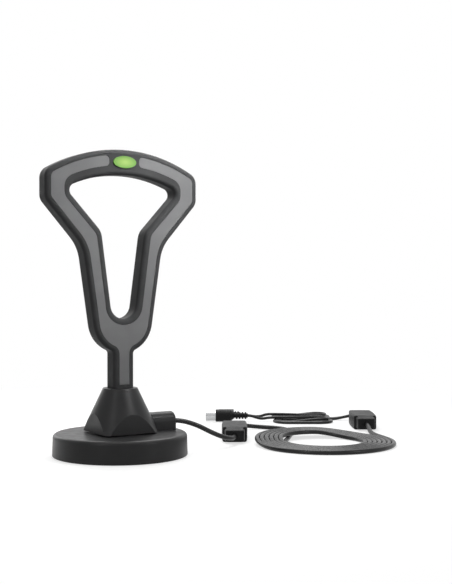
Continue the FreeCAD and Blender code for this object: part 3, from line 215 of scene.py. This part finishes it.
# What the lamps are aimed at.
MIDDLE = Vector((0.02, 0.0, 0.11))
HEAD = Vector((0.035, 0.0, 0.238))


def laid(across, along, height):
    """A point of the cords' layout, given in millimetres, in the object's frame in metres."""
    x = across * math.cos(LAYOUT_TURN) + along * math.sin(LAYOUT_TURN)
    y = along * math.cos(LAYOUT_TURN) - across * math.sin(LAYOUT_TURN)
    return (x * MM, y * MM, height * MM)


def route(*stretches):
    """The points of several stretches of the layout, one after the other, in metres."""
    return [laid(*point) for stretch in stretches for point in stretch]


def ease(value):
    """A smooth step from 0 to 1."""
    value = min(max(value, 0.0), 1.0)
    return value * value * (3 - 2 * value)


def coil_height(angle, begun):
    """Height of a turn: on the floor, and one diameter up where it passes over the inward run."""
    if begun < COIL_LEVEL:
        return LEAD_FLOOR
    turned = math.degrees(angle) % 360
    up = ease((turned - HUMP_RISE) / (HUMP_TOP - HUMP_RISE))
    down = ease((HUMP_END - turned) / (HUMP_END - HUMP_FALL))
    return LEAD_FLOOR + LEAD_DIAMETER * min(up, down)


def coil_points():
    """The turns of the coil, from the inside out, as corners of a polygon round each turn."""
    points = []
    count = round((COIL_END - COIL_START) / COIL_STEP)
    for index in range(count + 1):
        begun = index * COIL_STEP
        angle = COIL_START + begun
        radius = COIL_INNER + (COIL_OUTER - COIL_INNER) * index / count
        reach = radius / math.cos(COIL_STEP / 2)
        across = COIL_CENTRE[0] + reach * math.cos(angle)
        along = COIL_CENTRE[1] + reach * math.sin(angle)
        points.append((across, along, coil_height(angle, begun)))
    return points


def hank_points(centre, side):
    """Three flat turns of a hank, with a last fold that climbs over them.
    side says along which run the cord comes in."""
    half_step = math.pi / HANK_STEPS / 2
    points = []

    def add(u, w, height):
        points.append((centre[0] + u, centre[1] + side * w, height))

    def fold(middle, first, start, stop, height):
        for step in range(HANK_STEPS):
            angle = first + (2 * step + 1) * half_step
            radius = start + (stop - start) * (step + 0.5) / HANK_STEPS
            reach = radius / math.cos(half_step)
            add(middle + reach * math.cos(angle), reach * math.sin(angle), height)

    for turn, radius in enumerate(HANK_RADII):
        last = turn == len(HANK_RADII) - 1
        inner = HANK_LAST_RADIUS if last else HANK_RADII[turn + 1]
        return_height = THIN_OVER if last else THIN_FLOOR
        run = HANK_HALF_RUN - radius * math.tan(half_step)
        add(run, radius, THIN_FLOOR)
        add(-run, radius, THIN_FLOOR)
        fold(-HANK_HALF_RUN, math.pi / 2, radius, radius, THIN_FLOOR)
        add(-run, -radius, THIN_FLOOR)
        if last:
            add(0, -radius, (THIN_FLOOR + THIN_OVER) / 2)
        add(run, -radius, return_height)
        fold(HANK_HALF_RUN, -math.pi / 2, radius, inner, return_height)
    return points


def noise(tree, scale, detail, roughness=0.5, stretch=None):
    """A noise texture in the object's own space. stretch scales it along x, y and z."""
    place = tree.nodes.new("ShaderNodeTexCoord")
    texture = tree.nodes.new("ShaderNodeTexNoise")
    texture.inputs["Scale"].default_value = scale
    texture.inputs["Detail"].default_value = detail
    texture.inputs["Roughness"].default_value = roughness
    if stretch:
        mapping = tree.nodes.new("ShaderNodeMapping")
        mapping.inputs["Scale"].default_value = stretch
        tree.links.new(place.outputs["Object"], mapping.inputs["Vector"])
        tree.links.new(mapping.outputs["Vector"], texture.inputs["Vector"])
    else:
        tree.links.new(place.outputs["Object"], texture.inputs["Vector"])
    return texture.outputs["Fac"]


def spread_values(tree, value, low, high):
    """Takes a noise value to the range from low to high."""
    node = tree.nodes.new("ShaderNodeMapRange")
    node.inputs["From Min"].default_value = NOISE_LOW
    node.inputs["From Max"].default_value = NOISE_HIGH
    node.inputs["To Min"].default_value = low
    node.inputs["To Max"].default_value = high
    tree.links.new(value, node.inputs["Value"])
    return node.outputs["Result"]


def tint(tree, value, first, last, start=NOISE_LOW, end=NOISE_HIGH):
    """Takes a value to a colour that goes from first to last."""
    ramp = tree.nodes.new("ShaderNodeValToRGB")
    ramp.color_ramp.elements[0].position = start
    ramp.color_ramp.elements[0].color = (*first, 1)
    ramp.color_ramp.elements[1].position = end
    ramp.color_ramp.elements[1].color = (*last, 1)
    tree.links.new(value, ramp.inputs["Fac"])
    return ramp.outputs["Color"]


def bump(tree, shader, height, distance):
    """Raises a surface by a height texture, distance metres at most."""
    node = tree.nodes.new("ShaderNodeBump")
    node.inputs["Distance"].default_value = distance
    tree.links.new(height, node.inputs["Height"])
    tree.links.new(node.outputs["Normal"], shader.inputs["Normal"])


def new_material(name):
    """A new material with its node tree and its shader."""
    made = bpy.data.materials.new(name)
    made.use_nodes = True
    return made, made.node_tree, made.node_tree.nodes["Principled BSDF"]


def shaded(colour, factor):
    """A colour made lighter or darker."""
    return tuple(channel * factor for channel in colour)


def moulded(name, colour, rough, spread, grain, depth, mottle=0.12, specular=0.5):
    """Moulded plastic: fine spark-eroded grain, cloudy gloss and a little colour variation.
    Roughness strays by spread and colour by mottle. The grain has a scale and a depth in metres."""
    made, tree, shader = new_material(name)
    shader.inputs["Specular IOR Level"].default_value = specular
    cloud = noise(tree, CLOUD_SCALE, detail=4)
    colours = tint(tree, cloud, shaded(colour, 1 - mottle), shaded(colour, 1 + mottle))
    tree.links.new(colours, shader.inputs["Base Color"])
    patches = noise(tree, GLOSS_SCALE, detail=5)
    gloss = spread_values(tree, patches, rough - spread, rough + spread)
    tree.links.new(gloss, shader.inputs["Roughness"])
    bump(tree, shader, noise(tree, grain, detail=3, roughness=FINE_ROUGHNESS), depth)
    return made


def plated(name, colour, rough, spread, depth, stretch=None):
    """Metal with fine polishing marks, drawn out along one axis where stretch is given."""
    made, tree, shader = new_material(name)
    shader.inputs["Metallic"].default_value = 1.0
    lines = noise(tree, LINE_SCALE, detail=3, roughness=FINE_ROUGHNESS, stretch=stretch)
    stain = noise(tree, STAIN_SCALE, detail=3)
    colours = tint(tree, stain, shaded(colour, STAIN_DARK), shaded(colour, STAIN_LIGHT))
    tree.links.new(colours, shader.inputs["Base Color"])
    gloss = spread_values(tree, lines, rough - spread, rough + spread)
    tree.links.new(gloss, shader.inputs["Roughness"])
    bump(tree, shader, lines, depth)
    return made


def badge_material(name):
    """Clear domed lacquer over a light green ground that is paler in the middle."""
    made, tree, shader = new_material(name)
    shader.inputs["Roughness"].default_value = 0.5
    shader.inputs["Specular IOR Level"].default_value = 0.2
    shader.inputs["Coat Weight"].default_value = 0.25
    shader.inputs["Coat Roughness"].default_value = 0.08
    badge_low, badge_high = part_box("badge")
    half = (badge_high - badge_low) / 2
    half_width = max(half.x, half.y)
    place = tree.nodes.new("ShaderNodeTexCoord")
    mapping = tree.nodes.new("ShaderNodeMapping")
    mapping.vector_type = "TEXTURE"
    mapping.inputs["Location"].default_value = (badge_low + badge_high) / 2
    mapping.inputs["Scale"].default_value = (half_width, half_width, half.z)
    reach = tree.nodes.new("ShaderNodeVectorMath")
    reach.operation = "LENGTH"
    tree.links.new(place.outputs["Object"], mapping.inputs["Vector"])
    tree.links.new(mapping.outputs["Vector"], reach.inputs[0])
    ground = tint(
        tree, reach.outputs["Value"], BADGE_MIDDLE, BADGE_RIM, BADGE_FADE_START, BADGE_FADE_END
    )
    tree.links.new(ground, shader.inputs["Base Color"])
    bump(tree, shader, noise(tree, LACQUER_SCALE, detail=2), LACQUER_DEPTH)
    return made


def board_material(name):
    """Lacquered circuit board: green mask over a net of paler tracks."""
    made, tree, shader = new_material(name)
    shader.inputs["Roughness"].default_value = 0.3
    place = tree.nodes.new("ShaderNodeTexCoord")
    tracks = tree.nodes.new("ShaderNodeTexBrick")
    tracks.inputs["Scale"].default_value = TRACK_SCALE
    tracks.inputs["Color1"].default_value = (*BOARD_MASKS[0], 1)
    tracks.inputs["Color2"].default_value = (*BOARD_MASKS[1], 1)
    tracks.inputs["Mortar"].default_value = (*BOARD_TRACK, 1)
    tracks.inputs["Mortar Size"].default_value = TRACK_WIDTH
    tree.links.new(place.outputs["Object"], tracks.inputs["Vector"])
    tree.links.new(tracks.outputs["Color"], shader.inputs["Base Color"])
    bump(tree, shader, tracks.outputs["Fac"], TRACK_DEPTH)
    return made


def cord_piece(name, points, diameter):
    """A round cord on one smooth open line along the route."""
    curve = bpy.data.curves.new(name, "CURVE")
    curve.dimensions = "3D"
    curve.bevel_depth = diameter / 2 * MM
    curve.bevel_resolution = 4
    curve.use_fill_caps = True
    spline = curve.splines.new("NURBS")
    spline.points.add(len(points) - 1)
    for corner, point in zip(spline.points, points):
        corner.co = (*point, 1)
    spline.order_u = 3
    spline.use_endpoint_u = True
    spline.resolution_u = 6
    piece = bpy.data.objects.new(name, curve)
    scene.collection.objects.link(piece)
    curve.materials.append(looks["cord_black"])
    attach(piece, "root")
    return piece


def seen_rays(tree):
    """1 for a ray from the camera, off a gloss or through glass, and 0 for all other light."""
    path = tree.nodes.new("ShaderNodeLightPath")
    mirrored = tree.nodes.new("ShaderNodeMath")
    mirrored.operation = "MAXIMUM"
    seen = tree.nodes.new("ShaderNodeMath")
    seen.operation = "MAXIMUM"
    tree.links.new(path.outputs["Is Glossy Ray"], mirrored.inputs[0])
    tree.links.new(path.outputs["Is Transmission Ray"], mirrored.inputs[1])
    tree.links.new(path.outputs["Is Camera Ray"], seen.inputs[0])
    tree.links.new(mirrored.outputs["Value"], seen.inputs[1])
    return seen.outputs["Value"]


def floor_material():
    """White floor: it takes the object's shadow near by and turns plain white further off."""
    made = bpy.data.materials.new("floor_white")
    made.use_nodes = True
    tree = made.node_tree
    tree.nodes.clear()
    out = tree.nodes.new("ShaderNodeOutputMaterial")
    paper = tree.nodes.new("ShaderNodeBsdfDiffuse")
    paper.inputs["Color"].default_value = (FLOOR_PAPER, FLOOR_PAPER, FLOOR_PAPER, 1)
    glow = tree.nodes.new("ShaderNodeEmission")
    glow.inputs["Strength"].default_value = PLAIN_WHITE
    lift = tree.nodes.new("ShaderNodeEmission")
    lift.inputs["Strength"].default_value = FLOOR_LIFT
    lifted = tree.nodes.new("ShaderNodeAddShader")
    place = tree.nodes.new("ShaderNodeTexCoord")
    reach = tree.nodes.new("ShaderNodeVectorMath")
    reach.operation = "LENGTH"
    fade = tree.nodes.new("ShaderNodeMapRange")
    fade.interpolation_type = "SMOOTHSTEP"
    fade.inputs["From Min"].default_value = FADE_NEAR
    fade.inputs["From Max"].default_value = FADE_FAR
    white = tree.nodes.new("ShaderNodeMixShader")
    shown = tree.nodes.new("ShaderNodeMixShader")
    link = tree.links.new
    link(place.outputs["Object"], reach.inputs[0])
    link(reach.outputs["Value"], fade.inputs["Value"])
    link(paper.outputs["BSDF"], lifted.inputs[0])
    link(lift.outputs["Emission"], lifted.inputs[1])
    link(fade.outputs["Result"], white.inputs["Fac"])
    link(lifted.outputs["Shader"], white.inputs[1])
    link(glow.outputs["Emission"], white.inputs[2])
    link(seen_rays(tree), shown.inputs["Fac"])
    link(paper.outputs["BSDF"], shown.inputs[1])
    link(white.outputs["Shader"], shown.inputs[2])
    link(shown.outputs["Shader"], out.inputs["Surface"])
    return made


def studio_world():
    """White to the camera and in a gloss, and a low even light on everything else."""
    world = bpy.data.worlds.new("studio")
    world.use_nodes = True
    tree = world.node_tree
    backdrop = tree.nodes["Background"]
    backdrop.inputs["Color"].default_value = (1, 1, 1, 1)
    level = tree.nodes.new("ShaderNodeMapRange")
    level.inputs["To Min"].default_value = WORLD_LEVEL
    level.inputs["To Max"].default_value = PLAIN_WHITE
    tree.links.new(seen_rays(tree), level.inputs["Value"])
    tree.links.new(level.outputs["Result"], backdrop.inputs["Strength"])
    return world


def softbox(name, target, azimuth, elevation, distance, width, height, watts, spread=180):
    """A soft rectangular lamp that faces the target.
    azimuth and elevation are degrees from the way to the camera, to the right and up."""
    across = math.radians(azimuth)
    raised = math.radians(elevation)
    level_way = RIGHT * math.sin(across) - AWAY * math.cos(across)
    lamp = bpy.data.lights.new(name, "AREA")
    lamp.shape = "RECTANGLE"
    lamp.size = width
    lamp.size_y = height
    lamp.energy = watts
    lamp.spread = math.radians(spread)
    holder = bpy.data.objects.new(name, lamp)
    scene.collection.objects.link(holder)
    holder.location = target + (level_way * math.cos(raised) + UP * math.sin(raised)) * distance
    holder.rotation_mode = "QUATERNION"
    holder.rotation_quaternion = (target - holder.location).to_track_quat("-Z", "Y")


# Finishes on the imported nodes.
looks = {name: moulded(name, **finish) for name, finish in MOULDED.items()}
looks.update({name: plated(name, **finish) for name, finish in PLATED.items()})
looks["badge_green"] = badge_material("badge_green")
looks["board_green"] = board_material("board_green")

for node in nodes.values():
    for slot in node.material_slots:
        slot_name = slot.material.name.split(".")[0]
        if slot_name in looks:
            slot.material = looks[slot_name]

# Cords in place of the plain tubes and rings.
lead = cord_piece("antenna_lead", GLAND_POINTS + route(LEAD_POINTS), LEAD_DIAMETER)
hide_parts("lead_cord")

main_route = route(LOOP_POINTS, coil_points(), TAIL_POINTS)
main = cord_piece("coiled_lead", main_route, LEAD_DIAMETER)
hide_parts("loop_cord", "main_coil", "tail_cord")

usb_route = route(USB_IN_POINTS, hank_points(USB_HANK_CENTRE, NEAR_RUN), USB_OUT_POINTS)
usb = cord_piece("power_cord", usb_route, THIN_DIAMETER)
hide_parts("usb_cord", "usb_hank", "usb_plug_cord")

aerial_route = route(AERIAL_IN_POINTS, hank_points(AERIAL_HANK_CENTRE, FAR_RUN), AERIAL_OUT_POINTS)
aerial = cord_piece("aerial_tail", aerial_route, THIN_DIAMETER)
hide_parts("aerial_cord", "aerial_hank", "aerial_plug_cord")

# Floor, light and camera.
floor_mesh = bpy.data.meshes.new("floor")
floor_corners = [(-1, -1), (1, -1), (1, 1), (-1, 1)]
floor_mesh.from_pydata(
    [(FLOOR_HALF * x, FLOOR_HALF * y, 0.0) for x, y in floor_corners], [], [(0, 1, 2, 3)]
)
floor_mesh.materials.append(floor_material())
floor = bpy.data.objects.new("floor", floor_mesh)
scene.collection.objects.link(floor)

scene.world = studio_world()

softbox(
    "key", HEAD, azimuth=64, elevation=39, distance=0.335, width=0.14, height=0.20, watts=0.25,
    spread=36,
)
softbox(
    "left_strip", MIDDLE, azimuth=-28, elevation=25, distance=0.85, width=0.09, height=0.85,
    watts=1.2,
)
softbox(
    "right_strip", MIDDLE, azimuth=58, elevation=12, distance=0.90, width=0.08, height=0.54,
    watts=0.9,
)
softbox(
    "top", MIDDLE, azimuth=0, elevation=89, distance=1.00, width=0.60, height=0.45, watts=4.5
)
softbox(
    "back", MIDDLE, azimuth=178, elevation=48, distance=1.00, width=0.70, height=0.50, watts=5.0
)
softbox(
    "rear_fill", MIDDLE, azimuth=214, elevation=22, distance=1.00, width=0.40, height=0.60,
    watts=1.6,
)

camera_data = bpy.data.cameras.new("camera")
camera_data.lens = LENS_MM
camera_data.sensor_width = SENSOR_MM
camera_data.sensor_fit = "AUTO"
camera_data.clip_start = 0.01
camera = bpy.data.objects.new("camera", camera_data)
scene.collection.objects.link(camera)
camera.location = CAMERA_PLACE
looking = AWAY * math.cos(PITCH_DOWN) - UP * math.sin(PITCH_DOWN)
camera.rotation_mode = "QUATERNION"
camera.rotation_quaternion = looking.to_track_quat("-Z", "Y")
scene.camera = camera

scene.view_settings.view_transform = "Standard"
